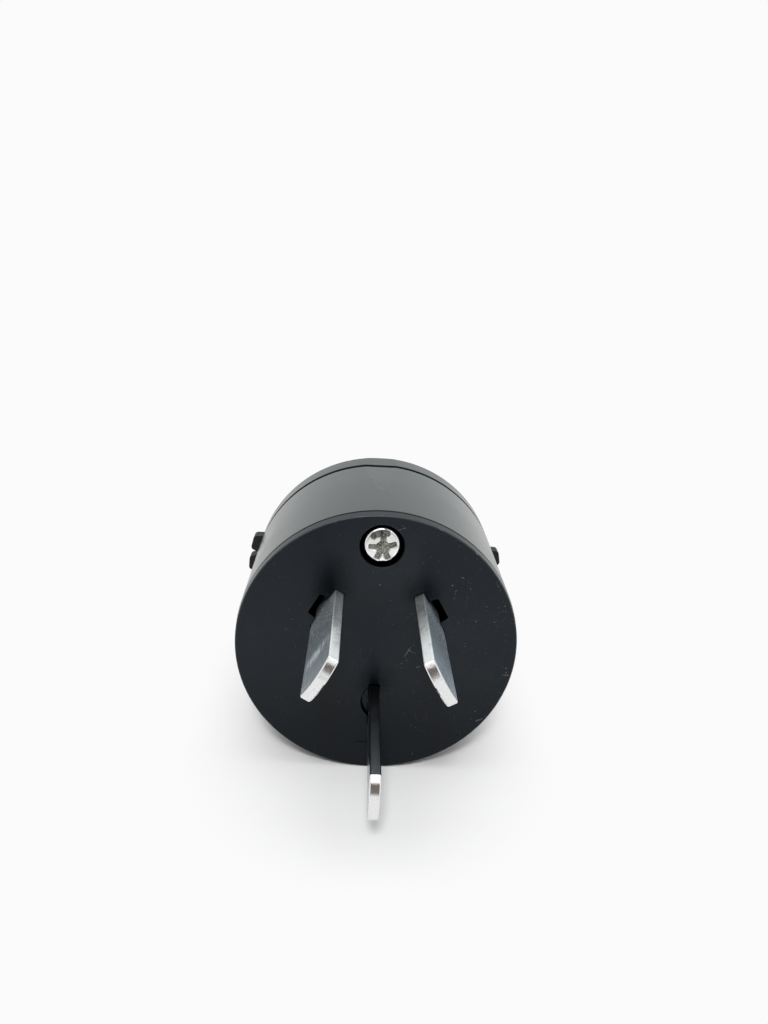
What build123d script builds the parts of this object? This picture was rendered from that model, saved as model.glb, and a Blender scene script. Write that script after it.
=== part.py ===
"""A three-pin flat-blade mains plug that is wired by its user, without its cord.

Millimetres. The origin is the centre of the pin layout, on the pin face. +X is to the right as the pins are
looked at, +Y runs back through the body, and +Z is up, with the earth blade at the bottom.
"""
from build123d import *
import os
from math import cos, radians, sin

# Pin layout, measured from the pin origin on the face
PIN_CIRCLE_R = 7.92         # active and neutral blade centres
PIN_LEAN = 30.0             # degrees: how far those centres rise, and how far the blades lean
EARTH_DROP = 10.31          # earth blade centre below the origin

# Blades
BLADE_WIDTH = 6.35
BLADE_THICKNESS = 1.35
POWER_REACH = 18.0          # active and neutral, face to the top of the arched tip
EARTH_REACH = 20.0
TIP_ARCH = 0.9              # how far the tip's middle stands ahead of its corners
TIP_CORNER_R = 0.3
BLADE_BEVEL = 0.15
SHOULDER_WIDTH = 8.6        # the wider part that the retainer traps
SHOULDER_DEPTH = 1.5
TAIL_WIDTH = 4.0            # the narrow part that is staked into the terminal
TAIL_PEEN = 0.4

# Outside of the body
BODY_DROP = 1.45            # body axis below the pin origin
RIM_R = 19.35               # pin plate at its joint with the shell
FACE_DRAFT = 0.15           # how much smaller the face is than that joint
SHELL_FLARE = 0.25          # how much larger the shell is at its back
RIM_DEPTH = 1.8
SHELL_LENGTH = 21.6
CAP_DEPTH = 4.6
CAP_EDGE_R = 0.8
TOP_FLAT_CUT = 0.15         # taken off the top of the shell's back by its small flat
BASE_FLAT_CUT = 0.35        # taken off its bottom by the flat that the plug lies on
FACE_EDGE_R = 0.15
FRONT_GROOVE_WIDTH = 0.5    # shadow groove between the pin plate and the shell
FRONT_GROOVE_DEPTH = 0.35
REAR_GROOVE_WIDTH = 1.2     # shadow groove between the shell and the rear cap
REAR_GROOVE_DEPTH = 0.5
GROOVE_EDGE = 0.05          # broken edge behind each groove
REAR_PANEL_MARGIN = 4.4     # plain rim round the sunk panel on the back
REAR_PANEL_DEPTH = 0.35

# How the three mouldings fit together
SHELL_WALL = 2.15           # at the front joint
SPIGOT_CLEARANCE = 0.1
SPIGOT_DEPTH = 3.0
SPIGOT_WALL = 2.0           # rear cap's spigot
KEY_WIDTH = 2.4             # key along the bottom of the bore
KEY_RISE = 1.2
KEY_CLEARANCE = 0.1
SNAP_ARC = 9.0              # degrees
SNAP_ANGLES = (222.0, 318.0)
SNAP_RISE = 0.45
SNAP_LENGTH = 1.2
SNAP_SETBACK = 1.2          # from the joint to the near side of a snap lug
SNAP_CLEARANCE = 0.1

# Openings in the pin face
SLOT_CLEARANCE = 0.12
NOTCH_BASE = 3.9            # notch length beside the active and neutral blades
NOTCH_TOP = 3.2
NOTCH_REACH = 2.1           # from the blade's middle plane
NOTCH_DEPTH = 3.0
NOTCH_CORNER_R = 0.3
EARTH_POCKET_HEIGHT = 4.6   # shallow round-backed pocket beside the earth blade
EARTH_POCKET_REACH = 1.7
EARTH_POCKET_DEPTH = 0.6
EARTH_POCKET_RISE = 0.5     # its middle above the blade's

# Assembly screw
SCREW_INSET = 4.4           # from the rim to the screw's axis
SCREW_HEAD_R = 2.5
SCREW_HEAD_HEIGHT = 1.3
SCREW_SHANK_R = 1.25
SCREW_LENGTH = 18.0
SCREW_END_ROOM = 1.2
COUNTERBORE_R = 2.95
COUNTERBORE_DEPTH = 1.75
COUNTERBORE_CHAMFER = 0.12
SCREW_CLEARANCE = 0.2
PILLAR_R = 3.3
PLATE_PILLAR_LENGTH = 9.2   # pin plate's share of the screw pillar

# Blade retainer
RETAINER_DEPTH = 2.2
RETAINER_GAP = 0.4
BARRIER_WALL = 1.2
BARRIER_DEPTH = 6.5
BARRIER_DROP = 1.8          # cross wall below the body axis
PILLAR_GAP = 0.3
RETAINER_SCREW_INSET = 3.0  # from the retainer's edge to the screw's axis
RETAINER_SCREW_ANGLE = 27.0 # degrees below the horizontal
RETAINER_SCREW_R = 1.1
RETAINER_SCREW_LENGTH = 4.6
RETAINER_HEAD_R = 2.0
RETAINER_HEAD_HEIGHT = 1.4

# Terminals
TERMINAL_WIDTH = 6.6
TERMINAL_DEPTH = 6.4
TERMINAL_BACKING = 2.0      # brass on the closed side of the blade's tail
TERMINAL_OUT = 5.2          # open side, from the blade's middle plane
TERMINAL_EDGE_R = 0.3
TAIL_CLEARANCE = 0.05
WIRE_HOLE_R = 1.6
WIRE_HOLE_WALL = 0.7        # brass between the retainer and the wire hole
TERMINAL_SCREW_R = 1.5
TERMINAL_SCREW_LENGTH = 3.0
TERMINAL_SCREW_LIFT = 0.5   # the screw is wound out, ready for a wire
TERMINAL_HEAD_R = 2.1
TERMINAL_HEAD_HEIGHT = 1.4

# Cord inlet and clamp
INLET_R = 4.5
INLET_LIP_R = 0.8
CAP_WALL = 3.4
CRADLE_LENGTH = 8.0
CRADLE_WIDTH = 20.0
TROUGH_ROOM = 0.4           # how much larger the cord's trough is than its inlet
CRADLE_FLOOR = 1.8          # plastic under the trough
CRADLE_RISE = 2.2           # clamp seat above the body axis
CLAMP_BAR_WIDTH = 5.0
CLAMP_BAR_THICKNESS = 2.4
CLAMP_RIDGE_R = 0.8
CLAMP_SIDE_ROOM = 0.3
CLAMP_SCREW_X = 7.2
CLAMP_SCREW_R = 1.45
CLAMP_SCREW_LENGTH = 8.5
CLAMP_HEAD_R = 2.6
CLAMP_HEAD_HEIGHT = 1.8

# Grip lugs on the rear cap
LUG_COUNT = 3
LUG_PITCH = 10.0            # degrees
LUG_MIDDLE = 2.0            # degrees above the horizontal
LUG_TURN = 1.3              # degrees: how far the right lugs sit lower and the left ones higher
LUG_RISE = 1.4
LUG_BASE = 3.3
LUG_TOP = 2.3
LUG_CORNER_R = 0.6
LUG_DEPTH = 2.0
LUG_SETBACK = 0.8           # from the cap's back face

# Screw details
THREAD_FIT = 0.05
HEAD_DOME = 0.5             # rounding of a screw head's rim
STAR_ARMS = 5
STAR_REACH = 2.0
STAR_WIDTH = 0.85
CROSS_LENGTH = 2.6
CROSS_WIDTH = 0.8
RECESS_DEPTH = 0.9
SLOT_WIDTH = 0.8
SHANK_CHAMFER = 0.3

# Depths along the body that follow from the sizes above
PLATE_BACK = RIM_DEPTH + SPIGOT_DEPTH
SHOULDER_FRONT = PLATE_BACK - SHOULDER_DEPTH
RETAINER_BACK = PLATE_BACK + RETAINER_DEPTH
TERMINAL_BACK = RETAINER_BACK + TERMINAL_DEPTH
WIRE_HOLE_PLACE = RETAINER_BACK + WIRE_HOLE_WALL + WIRE_HOLE_R
PILLAR_JOINT = PLATE_BACK + PLATE_PILLAR_LENGTH
SHELL_BACK = RIM_DEPTH + SHELL_LENGTH
BODY_BACK = SHELL_BACK + CAP_DEPTH
CAP_INSIDE = BODY_BACK - CAP_WALL
CAP_SPIGOT_FRONT = SHELL_BACK - SPIGOT_DEPTH
CRADLE_FRONT = CAP_INSIDE - CRADLE_LENGTH

# Radii and heights that follow from them
FACE_R = RIM_R - FACE_DRAFT
SHELL_REAR_R = RIM_R + SHELL_FLARE
BORE_R = RIM_R - SHELL_WALL
SPIGOT_R = BORE_R - SPIGOT_CLEARANCE
SCREW_HEIGHT = RIM_R - BODY_DROP - SCREW_INSET
RETAINER_R = BORE_R - KEY_RISE - RETAINER_GAP
TROUGH_R = INLET_R + TROUGH_ROOM
TERMINAL_SCREW_OUT = (BLADE_THICKNESS / 2 + TERMINAL_OUT) / 2
FAR = 100.0                 # larger than the whole plug, for cutting tools

# Blade frames: local X runs up the blade, Y back through the body, and -Z outwards from its flat side
LEAN = radians(PIN_LEAN)
OUTWARD = Vector(cos(LEAN), 0, sin(LEAN))
UPWARD = Vector(-sin(LEAN), 0, cos(LEAN))
ACTIVE_FRAME = Plane(origin=OUTWARD * PIN_CIRCLE_R, x_dir=UPWARD, z_dir=-OUTWARD)
EARTH_FRAME = Plane(origin=(0, 0, -EARTH_DROP), x_dir=(0, 0, 1), z_dir=(-1, 0, 0))
BODY_AXIS = Pos(0, 0, -BODY_DROP)


def turned(corners):
    """A solid of revolution about the body axis, from (radius, depth) corners."""
    return BODY_AXIS * revolve(make_face(Polyline(*corners, close=True)), Axis.Y)


def rod(radius, front, back, x=0.0, z=0.0):
    """A cylinder along the body between two depths."""
    return Pos(x, (front + back) / 2, z) * Rot(90, 0, 0) * Cylinder(radius, back - front)


def block(x, y, z):
    """A box between the (low, high) limits on each axis."""
    middle = Pos(sum(x) / 2, sum(y) / 2, sum(z) / 2)
    return middle * Box(x[1] - x[0], y[1] - y[0], z[1] - z[0])


def centred(width):
    """The (low, high) limits of a width centred on zero."""
    return (-width / 2, width / 2)


def across(outline, front, back):
    """An outline drawn in X and Z, made solid between two depths."""
    return Pos(0, back, 0) * extrude(Plane.XZ * outline, back - front)


def flatted(shape):
    """The shape with the flats at the top and bottom of the body."""
    heights = (BASE_FLAT_CUT - SHELL_REAR_R, SHELL_REAR_R - TOP_FLAT_CUT)
    return shape & (BODY_AXIS * block(centred(2 * FAR), (0, FAR), heights))


def key(width, rise):
    """The key along the bottom of the bore, as deep as the cutting tools."""
    top = rise - BORE_R
    return BODY_AXIS * block(centred(width), (0, FAR), (-BORE_R - KEY_RISE, top))


def snap_rings(joint, direction, outside, spare):
    """The arcs of a ring that make the snap lugs of one joint, or with spare room their pockets."""
    near = joint + direction * (SNAP_SETBACK - spare)
    far = joint + direction * (SNAP_SETBACK + SNAP_LENGTH + spare)
    inside = SPIGOT_R - SNAP_RISE
    ring = make_face(Polyline((inside, near), (outside, near), (outside, far), (inside, far), close=True))
    arc = SNAP_ARC + 2 * spare
    sweep = revolve(ring, Axis.Y, arc)
    return [BODY_AXIS * Rot(0, -angle - arc / 2, 0) * sweep for angle in SNAP_ANGLES]


def screw(head_r, head_height, shank_r, length, recess):
    """A screw along +Y, with the underside of its domed head at the origin."""
    head = Rot(90, 0, 0) * Pos(0, 0, head_height / 2) * Cylinder(head_r, head_height)
    head = fillet(head.edges().filter_by(GeomType.CIRCLE).sort_by(Axis.Y)[0], HEAD_DOME)
    shank = rod(shank_r, 0, length)
    shank = chamfer(shank.edges().filter_by(GeomType.CIRCLE).sort_by(Axis.Y)[-1], SHANK_CHAMFER)
    return head + shank - [Pos(0, RECESS_DEPTH / 2 - head_height, 0) * arm for arm in recess]


def star_recess():
    """Slots that run outwards from the middle, the first of them upwards."""
    arm = Pos(0, 0, STAR_REACH / 2) * Box(STAR_WIDTH, RECESS_DEPTH, STAR_REACH)
    return [Rot(0, index * 360 / STAR_ARMS, 0) * arm for index in range(STAR_ARMS)]


def cross_recess():
    """Two crossing slots."""
    return [Box(CROSS_LENGTH, RECESS_DEPTH, CROSS_WIDTH), Box(CROSS_WIDTH, RECESS_DEPTH, CROSS_LENGTH)]


def straight_recess(head_r):
    """One slot right across the head."""
    return [Box(2 * head_r, RECESS_DEPTH, SLOT_WIDTH)]


def blade(reach):
    """A flat pin in its own frame: arched and bevelled tip, shoulders behind the face, and a narrow tail."""
    half = BLADE_WIDTH / 2
    tip_corner = TIP_ARCH - reach
    tail_end = TERMINAL_BACK + TAIL_PEEN
    tip = ThreePointArc((-half, tip_corner), (0, -reach), (half, tip_corner))
    rest = Polyline(
        (half, tip_corner), (half, SHOULDER_FRONT),
        (SHOULDER_WIDTH / 2, SHOULDER_FRONT), (SHOULDER_WIDTH / 2, PLATE_BACK),
        (TAIL_WIDTH / 2, PLATE_BACK), (TAIL_WIDTH / 2, tail_end),
        (-TAIL_WIDTH / 2, tail_end), (-TAIL_WIDTH / 2, PLATE_BACK),
        (-SHOULDER_WIDTH / 2, PLATE_BACK), (-SHOULDER_WIDTH / 2, SHOULDER_FRONT),
        (-half, SHOULDER_FRONT), (-half, tip_corner),
    )
    strip = extrude(make_face([tip, rest]), BLADE_THICKNESS / 2, both=True)
    corners = strip.edges().filter_by(Axis.Z).group_by(Axis.Y)[0]
    strip = fillet(corners, TIP_CORNER_R)
    near, far = strip.faces().filter_by(Axis.Z)
    outside = (near.edges() + far.edges()).filter_by(lambda edge: edge.center().Y < 0)
    return chamfer(outside, BLADE_BEVEL)


def blade_slot(width, front, back, clearance):
    """A slot for part of a blade, in the blade's own frame."""
    return block(centred(width + 2 * clearance), (front, back), centred(BLADE_THICKNESS + 2 * clearance))


def power_notch():
    """The notch on the outer side of an active or neutral slot, narrowing outwards, in the blade's frame."""
    outline = make_face(Polyline(
        (-NOTCH_BASE / 2, 0), (NOTCH_BASE / 2, 0),
        (NOTCH_TOP / 2, NOTCH_REACH), (-NOTCH_TOP / 2, NOTCH_REACH),
        close=True,
    ))
    outline = fillet(outline.vertices().group_by(Axis.Y)[-1], NOTCH_CORNER_R)
    notch = across(outline, 0, NOTCH_DEPTH)
    return mirror(notch, Plane.XY)


def earth_pocket():
    """The shallow pocket with a round back on the left of the earth slot."""
    half = EARTH_POCKET_HEIGHT / 2
    side = BLADE_THICKNESS / 2
    back = ThreePointArc((-side, -half), (-EARTH_POCKET_REACH, 0), (-side, half))
    outline = make_face([back, Line((-side, half), (-side, -half))])
    return Pos(0, 0, EARTH_POCKET_RISE - EARTH_DROP) * across(outline, 0, EARTH_POCKET_DEPTH)


def mirrored_pair(shape):
    """A shape and its image on the other side of the middle plane."""
    return [shape, mirror(shape, Plane.YZ)]


def screw_pillar(front, back):
    """The round pillar about the assembly screw, trimmed to slide inside the shell."""
    return rod(PILLAR_R, front, back, z=SCREW_HEIGHT) & rod(SPIGOT_R, front, back, z=-BODY_DROP)


def retainer_screw_places():
    """The (x, z) places of the two retainer screws."""
    radius = RETAINER_R - RETAINER_SCREW_INSET
    angle = radians(RETAINER_SCREW_ANGLE)
    return [(side * radius * cos(angle), -BODY_DROP - radius * sin(angle)) for side in (-1, 1)]


def make_pin_plate():
    """The round moulding that carries the pins."""
    groove_front = RIM_DEPTH - FRONT_GROOVE_WIDTH
    groove_floor = RIM_R - FRONT_GROOVE_DEPTH
    plate = turned([
        (0, 0), (FACE_R, 0), (RIM_R, groove_front), (groove_floor, groove_front), (groove_floor, RIM_DEPTH),
        (SPIGOT_R, RIM_DEPTH), (SPIGOT_R, PLATE_BACK), (0, PLATE_BACK),
    ])
    face_edge = plate.edges().filter_by(GeomType.CIRCLE).sort_by(Axis.Y)[0]
    plate = flatted(fillet(face_edge, FACE_EDGE_R))
    plate += screw_pillar(RIM_DEPTH, PILLAR_JOINT)
    plate += snap_rings(RIM_DEPTH, 1, SPIGOT_R + SNAP_RISE, 0)
    plate -= key(KEY_WIDTH + 2 * KEY_CLEARANCE, KEY_RISE + KEY_CLEARANCE) & rod(FAR, RIM_DEPTH, FAR)
    slot = blade_slot(BLADE_WIDTH, 0, PLATE_BACK, SLOT_CLEARANCE)
    pocket = blade_slot(SHOULDER_WIDTH, SHOULDER_FRONT, PLATE_BACK, SLOT_CLEARANCE)
    plate -= mirrored_pair(ACTIVE_FRAME * (slot + pocket + power_notch()))
    plate -= EARTH_FRAME * (slot + pocket)
    plate -= earth_pocket()
    plate -= rod(SCREW_SHANK_R + SCREW_CLEARANCE, 0, PILLAR_JOINT, z=SCREW_HEIGHT)
    plate -= rod(COUNTERBORE_R, 0, COUNTERBORE_DEPTH, z=SCREW_HEIGHT)
    mouth = plate.edges().filter_by(GeomType.CIRCLE).filter_by(
        lambda edge: abs(edge.radius - COUNTERBORE_R) < THREAD_FIT).sort_by(Axis.Y)[0]
    plate = chamfer(mouth, COUNTERBORE_CHAMFER)
    pilot = RETAINER_SCREW_LENGTH - RETAINER_DEPTH
    for x, z in retainer_screw_places():
        plate -= rod(RETAINER_SCREW_R + THREAD_FIT, PLATE_BACK - pilot, PLATE_BACK, x, z)
    return plate


def make_body_shell():
    """The barrel between the pin plate and the rear cap, with a key along its bore and snap pockets."""
    groove_front = SHELL_BACK - REAR_GROOVE_WIDTH
    groove_floor = SHELL_REAR_R - REAR_GROOVE_DEPTH
    shell = turned([
        (BORE_R, RIM_DEPTH), (RIM_R - GROOVE_EDGE, RIM_DEPTH), (RIM_R, RIM_DEPTH + GROOVE_EDGE),
        (SHELL_REAR_R, groove_front), (groove_floor, groove_front), (groove_floor, SHELL_BACK),
        (BORE_R, SHELL_BACK),
    ])
    shell += key(KEY_WIDTH, KEY_RISE) & rod(BORE_R + KEY_RISE, RIM_DEPTH, SHELL_BACK, z=-BODY_DROP)
    pocket_r = SPIGOT_R + SNAP_RISE + SNAP_CLEARANCE
    shell -= snap_rings(RIM_DEPTH, 1, pocket_r, SNAP_CLEARANCE)
    shell -= snap_rings(SHELL_BACK, -1, pocket_r, SNAP_CLEARANCE)
    return flatted(shell)


def grip_lugs():
    """The rounded lugs on both sides of the rear cap."""
    root = SHELL_REAR_R - LUG_CORNER_R
    tip = SHELL_REAR_R + LUG_RISE
    outline = make_face(Polyline(
        (root, -LUG_BASE / 2), (tip, -LUG_TOP / 2), (tip, LUG_TOP / 2), (root, LUG_BASE / 2), close=True,
    ))
    outline = fillet(outline.vertices().group_by(Axis.X)[-1], LUG_CORNER_R)
    back = BODY_BACK - LUG_SETBACK
    lug = across(outline, back - LUG_DEPTH, back)
    steps = [index - (LUG_COUNT - 1) / 2 for index in range(LUG_COUNT)]
    lugs = [Rot(0, -LUG_MIDDLE - step * LUG_PITCH, 0) * lug for step in steps]
    return [BODY_AXIS * Rot(0, LUG_TURN, 0) * image for one in lugs for image in mirrored_pair(one)]


def make_rear_cap():
    """The end moulding: grip lugs, cord inlet, cord cradle and the rest of the screw pillar."""
    cap = turned([
        (0, CAP_INSIDE), (SPIGOT_R - SPIGOT_WALL, CAP_INSIDE), (SPIGOT_R - SPIGOT_WALL, CAP_SPIGOT_FRONT),
        (SPIGOT_R, CAP_SPIGOT_FRONT), (SPIGOT_R, SHELL_BACK), (SHELL_REAR_R - GROOVE_EDGE, SHELL_BACK),
        (SHELL_REAR_R, SHELL_BACK + GROOVE_EDGE), (SHELL_REAR_R, BODY_BACK), (0, BODY_BACK),
    ])
    cap = flatted(fillet(cap.edges().filter_by(GeomType.CIRCLE).group_by(Axis.Y)[-1], CAP_EDGE_R))
    panel_back = BODY_BACK - REAR_PANEL_DEPTH
    cap -= rod(SHELL_REAR_R - REAR_PANEL_MARGIN, panel_back, BODY_BACK, z=-BODY_DROP)
    cap += grip_lugs()
    cap += snap_rings(SHELL_BACK, -1, SPIGOT_R + SNAP_RISE, 0)
    cap -= key(KEY_WIDTH + 2 * KEY_CLEARANCE, KEY_RISE + KEY_CLEARANCE) & rod(FAR, 0, SHELL_BACK)
    cap += screw_pillar(PILLAR_JOINT, CAP_INSIDE)
    cradle = (CRADLE_FRONT, CAP_INSIDE)
    cap += BODY_AXIS * block(centred(CRADLE_WIDTH), cradle, (-TROUGH_R - CRADLE_FLOOR, CRADLE_RISE))
    cap -= rod(TROUGH_R, *cradle, z=-BODY_DROP)
    cap -= BODY_AXIS * block(centred(2 * TROUGH_R), cradle, (0, CRADLE_RISE))
    cap -= rod(INLET_R, CAP_INSIDE, BODY_BACK, z=-BODY_DROP)
    inlet_edges = cap.edges().filter_by(GeomType.CIRCLE).filter_by(
        lambda edge: abs(edge.radius - INLET_R) < THREAD_FIT)
    cap = fillet(inlet_edges.sort_by(Axis.Y)[-1], INLET_LIP_R)
    screw_end = COUNTERBORE_DEPTH + SCREW_LENGTH + SCREW_END_ROOM
    cap -= rod(SCREW_SHANK_R + THREAD_FIT, PILLAR_JOINT, screw_end, z=SCREW_HEIGHT)
    pilot = CLAMP_SCREW_LENGTH - CLAMP_BAR_THICKNESS
    for place in clamp_screw_places(CRADLE_RISE - pilot / 2):
        cap -= place * Cylinder(CLAMP_SCREW_R + THREAD_FIT, pilot)
    return cap


def clamp_screw_places(rise):
    """The two clamp screws' places at a height above the body axis."""
    middle = CRADLE_FRONT + CRADLE_LENGTH / 2
    return [BODY_AXIS * Pos(side * CLAMP_SCREW_X, middle, rise) for side in (-1, 1)]


def make_cord_clamp_bar():
    """The bar over the cradle, with a ridge that bites into the cord."""
    middle = CRADLE_FRONT + CRADLE_LENGTH / 2
    bar = Box(CRADLE_WIDTH, CLAMP_BAR_WIDTH, CLAMP_BAR_THICKNESS)
    bar = fillet(bar.edges().filter_by(Axis.Z), CLAMP_BAR_WIDTH / 2 - CLAMP_SIDE_ROOM)
    bar = Pos(0, 0, CLAMP_BAR_THICKNESS / 2) * bar
    ridge = Rot(0, 90, 0) * Cylinder(CLAMP_RIDGE_R, 2 * (TROUGH_R - CLAMP_SIDE_ROOM))
    bar = BODY_AXIS * Pos(0, middle, CRADLE_RISE) * (bar + ridge)
    for place in clamp_screw_places(CRADLE_RISE + CLAMP_BAR_THICKNESS / 2):
        bar -= place * Cylinder(CLAMP_SCREW_R + SCREW_CLEARANCE, CLAMP_BAR_THICKNESS)
    return bar


def make_blade_retainer():
    """The disc that traps the blades' shoulders, with walls that keep the three wires apart."""
    disc = rod(RETAINER_R, PLATE_BACK, RETAINER_BACK, z=-BODY_DROP)
    barrier_back = RETAINER_BACK + BARRIER_DEPTH
    wall_top = SCREW_HEIGHT - PILLAR_R - PILLAR_GAP
    cross_z = -BODY_DROP - BARRIER_DROP
    upright = block(centred(BARRIER_WALL), (RETAINER_BACK, barrier_back), (cross_z, wall_top))
    cross_wall = block(centred(2 * RETAINER_R), (RETAINER_BACK, barrier_back),
                       (cross_z - BARRIER_WALL / 2, cross_z + BARRIER_WALL / 2))
    walls = (upright + cross_wall) & rod(RETAINER_R, RETAINER_BACK, barrier_back, z=-BODY_DROP)
    retainer = disc + walls - rod(PILLAR_R + PILLAR_GAP, PLATE_BACK, RETAINER_BACK, z=SCREW_HEIGHT)
    tail = blade_slot(TAIL_WIDTH, PLATE_BACK, RETAINER_BACK, SLOT_CLEARANCE)
    retainer -= mirrored_pair(ACTIVE_FRAME * tail)
    retainer -= EARTH_FRAME * tail
    for x, z in retainer_screw_places():
        retainer -= rod(RETAINER_SCREW_R + SCREW_CLEARANCE, PLATE_BACK, RETAINER_BACK, x, z)
    return retainer


def terminal():
    """A brass block in the blade's frame: staking slot, wire hole across it and a screw hole from behind."""
    body = block(centred(TERMINAL_WIDTH), (RETAINER_BACK, TERMINAL_BACK), (-TERMINAL_OUT, TERMINAL_BACKING))
    body = fillet(body.edges().filter_by(Axis.Y), TERMINAL_EDGE_R)
    body -= blade_slot(TAIL_WIDTH, RETAINER_BACK, TERMINAL_BACK, TAIL_CLEARANCE)
    wire_hole = Rot(0, 90, 0) * Cylinder(WIRE_HOLE_R, TERMINAL_WIDTH)
    body -= Pos(0, WIRE_HOLE_PLACE, -TERMINAL_SCREW_OUT) * wire_hole
    return body - rod(TERMINAL_SCREW_R + THREAD_FIT, WIRE_HOLE_PLACE, TERMINAL_BACK, z=-TERMINAL_SCREW_OUT)


def terminal_screw():
    """A slotted screw in the blade's frame, wound out far enough to let a wire in."""
    shape = screw(TERMINAL_HEAD_R, TERMINAL_HEAD_HEIGHT, TERMINAL_SCREW_R, TERMINAL_SCREW_LENGTH,
                  straight_recess(TERMINAL_HEAD_R))
    return Pos(0, TERMINAL_BACK + TERMINAL_SCREW_LIFT, -TERMINAL_SCREW_OUT) * Rot(180, 0, 0) * shape


def place_three(stem, power, earth):
    """The active, neutral and earth pieces of one kind, from shapes in the blades' frames."""
    active = ACTIVE_FRAME * power
    return {
        "active_" + stem: active,
        "neutral_" + stem: mirror(active, Plane.YZ),
        "earth_" + stem: EARTH_FRAME * earth,
    }


def make_pieces():
    """Every piece of the plug by name."""
    pieces = {"pin_plate": make_pin_plate(), "body_shell": make_body_shell(), "rear_cap": make_rear_cap()}
    pieces |= place_three("blade", blade(POWER_REACH), blade(EARTH_REACH))
    pieces |= place_three("terminal", terminal(), terminal())
    pieces |= place_three("terminal_screw", terminal_screw(), terminal_screw())
    long_screw = screw(SCREW_HEAD_R, SCREW_HEAD_HEIGHT, SCREW_SHANK_R, SCREW_LENGTH, star_recess())
    pieces["assembly_screw"] = Pos(0, COUNTERBORE_DEPTH, SCREW_HEIGHT) * long_screw
    pieces["blade_retainer"] = make_blade_retainer()
    short_screw = screw(RETAINER_HEAD_R, RETAINER_HEAD_HEIGHT, RETAINER_SCREW_R, RETAINER_SCREW_LENGTH,
                        cross_recess())
    clamp_screw = screw(CLAMP_HEAD_R, CLAMP_HEAD_HEIGHT, CLAMP_SCREW_R, CLAMP_SCREW_LENGTH, cross_recess())
    pieces["cord_clamp_bar"] = make_cord_clamp_bar()
    clamp_places = clamp_screw_places(CRADLE_RISE + CLAMP_BAR_THICKNESS)
    for side, (x, z), clamp_place in zip(("left", "right"), retainer_screw_places(), clamp_places):
        pieces["retainer_screw_" + side] = Pos(x, RETAINER_BACK, z) * Rot(180, 0, 0) * short_screw
        pieces["cord_clamp_screw_" + side] = clamp_place * Rot(-90, 0, 0) * clamp_screw
    return pieces


os.makedirs("parts", exist_ok=True)
for name, shape in make_pieces().items():
    export_step(shape, f"parts/{name}.step")
    print(name, round(shape.volume, 2))
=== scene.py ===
# %% [markdown]
# # A round three-pin mains plug
# The plug is a black moulded body with a plate on its front that carries three flat pins, and one recessed
# screw that draws the mouldings together. Its solid pieces come from the CAD frame, at their real size and
# in their real places. This lesson gives every piece its finish, cuts real threads on the screws, and sets
# up the floor, the light and the camera.

import bpy
import numpy as np
from mathutils import Matrix, Vector


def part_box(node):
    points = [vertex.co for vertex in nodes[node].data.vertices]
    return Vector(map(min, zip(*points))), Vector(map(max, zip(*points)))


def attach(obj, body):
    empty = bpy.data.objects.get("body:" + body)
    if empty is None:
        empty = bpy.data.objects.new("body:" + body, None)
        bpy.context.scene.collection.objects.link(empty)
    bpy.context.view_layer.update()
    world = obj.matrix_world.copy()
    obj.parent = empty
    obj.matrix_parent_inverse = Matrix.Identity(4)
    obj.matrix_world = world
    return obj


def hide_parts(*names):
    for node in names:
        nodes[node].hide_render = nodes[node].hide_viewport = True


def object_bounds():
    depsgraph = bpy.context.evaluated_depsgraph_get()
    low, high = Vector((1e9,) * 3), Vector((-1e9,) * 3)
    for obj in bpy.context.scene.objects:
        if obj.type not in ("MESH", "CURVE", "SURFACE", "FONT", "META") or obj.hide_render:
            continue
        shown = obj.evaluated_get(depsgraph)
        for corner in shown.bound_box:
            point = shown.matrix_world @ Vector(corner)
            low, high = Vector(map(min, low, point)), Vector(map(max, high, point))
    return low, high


MM = 0.001

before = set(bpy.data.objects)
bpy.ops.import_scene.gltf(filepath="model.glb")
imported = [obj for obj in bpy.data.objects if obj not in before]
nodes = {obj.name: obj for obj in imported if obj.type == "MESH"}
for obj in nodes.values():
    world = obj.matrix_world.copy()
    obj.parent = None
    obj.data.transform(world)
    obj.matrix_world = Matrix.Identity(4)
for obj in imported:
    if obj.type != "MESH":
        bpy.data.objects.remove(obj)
cad_low, cad_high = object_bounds()


def add_object(name, data):
    """A new object in the scene."""
    added = bpy.data.objects.new(name, data)
    bpy.context.scene.collection.objects.link(added)
    return added


print("CAD nodes:", len(nodes), "box in mm:", [round(side / MM, 2) for side in cad_high - cad_low])

# %% [markdown]
# ## Camera
# The picture is taken from close by with a wide lens, so the pins lean outwards and the back of the body
# looks small. A camera can be turned by hand until the view looks right, but here the focal length, the
# place and the three turns were fitted to the corners of the pins and the outline of the body.

# %% Camera
PICTURE_HEIGHT = 1024  # pixels
FOCAL_LENGTH = 751.574  # pixels
SENSOR_HEIGHT = 36.0  # mm along the picture's long side
CAMERA_PLACE = Vector((-3.5388, -90.7957, 49.3549)) * MM
CAMERA_PITCH = 0.3299  # radians: looking down
CAMERA_YAW = -0.0366
CAMERA_ROLL = 0.0447


def camera_axes(pitch, yaw, roll):
    """Right, down and forward: the axes of a level view along +Y, turned by pitch, yaw and roll."""
    level = Matrix(((1, 0, 0), (0, 0, -1), (0, 1, 0)))
    turn = Matrix.Rotation(roll, 3, "Z") @ Matrix.Rotation(yaw, 3, "Y") @ Matrix.Rotation(pitch, 3, "X")
    return turn @ level


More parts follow.
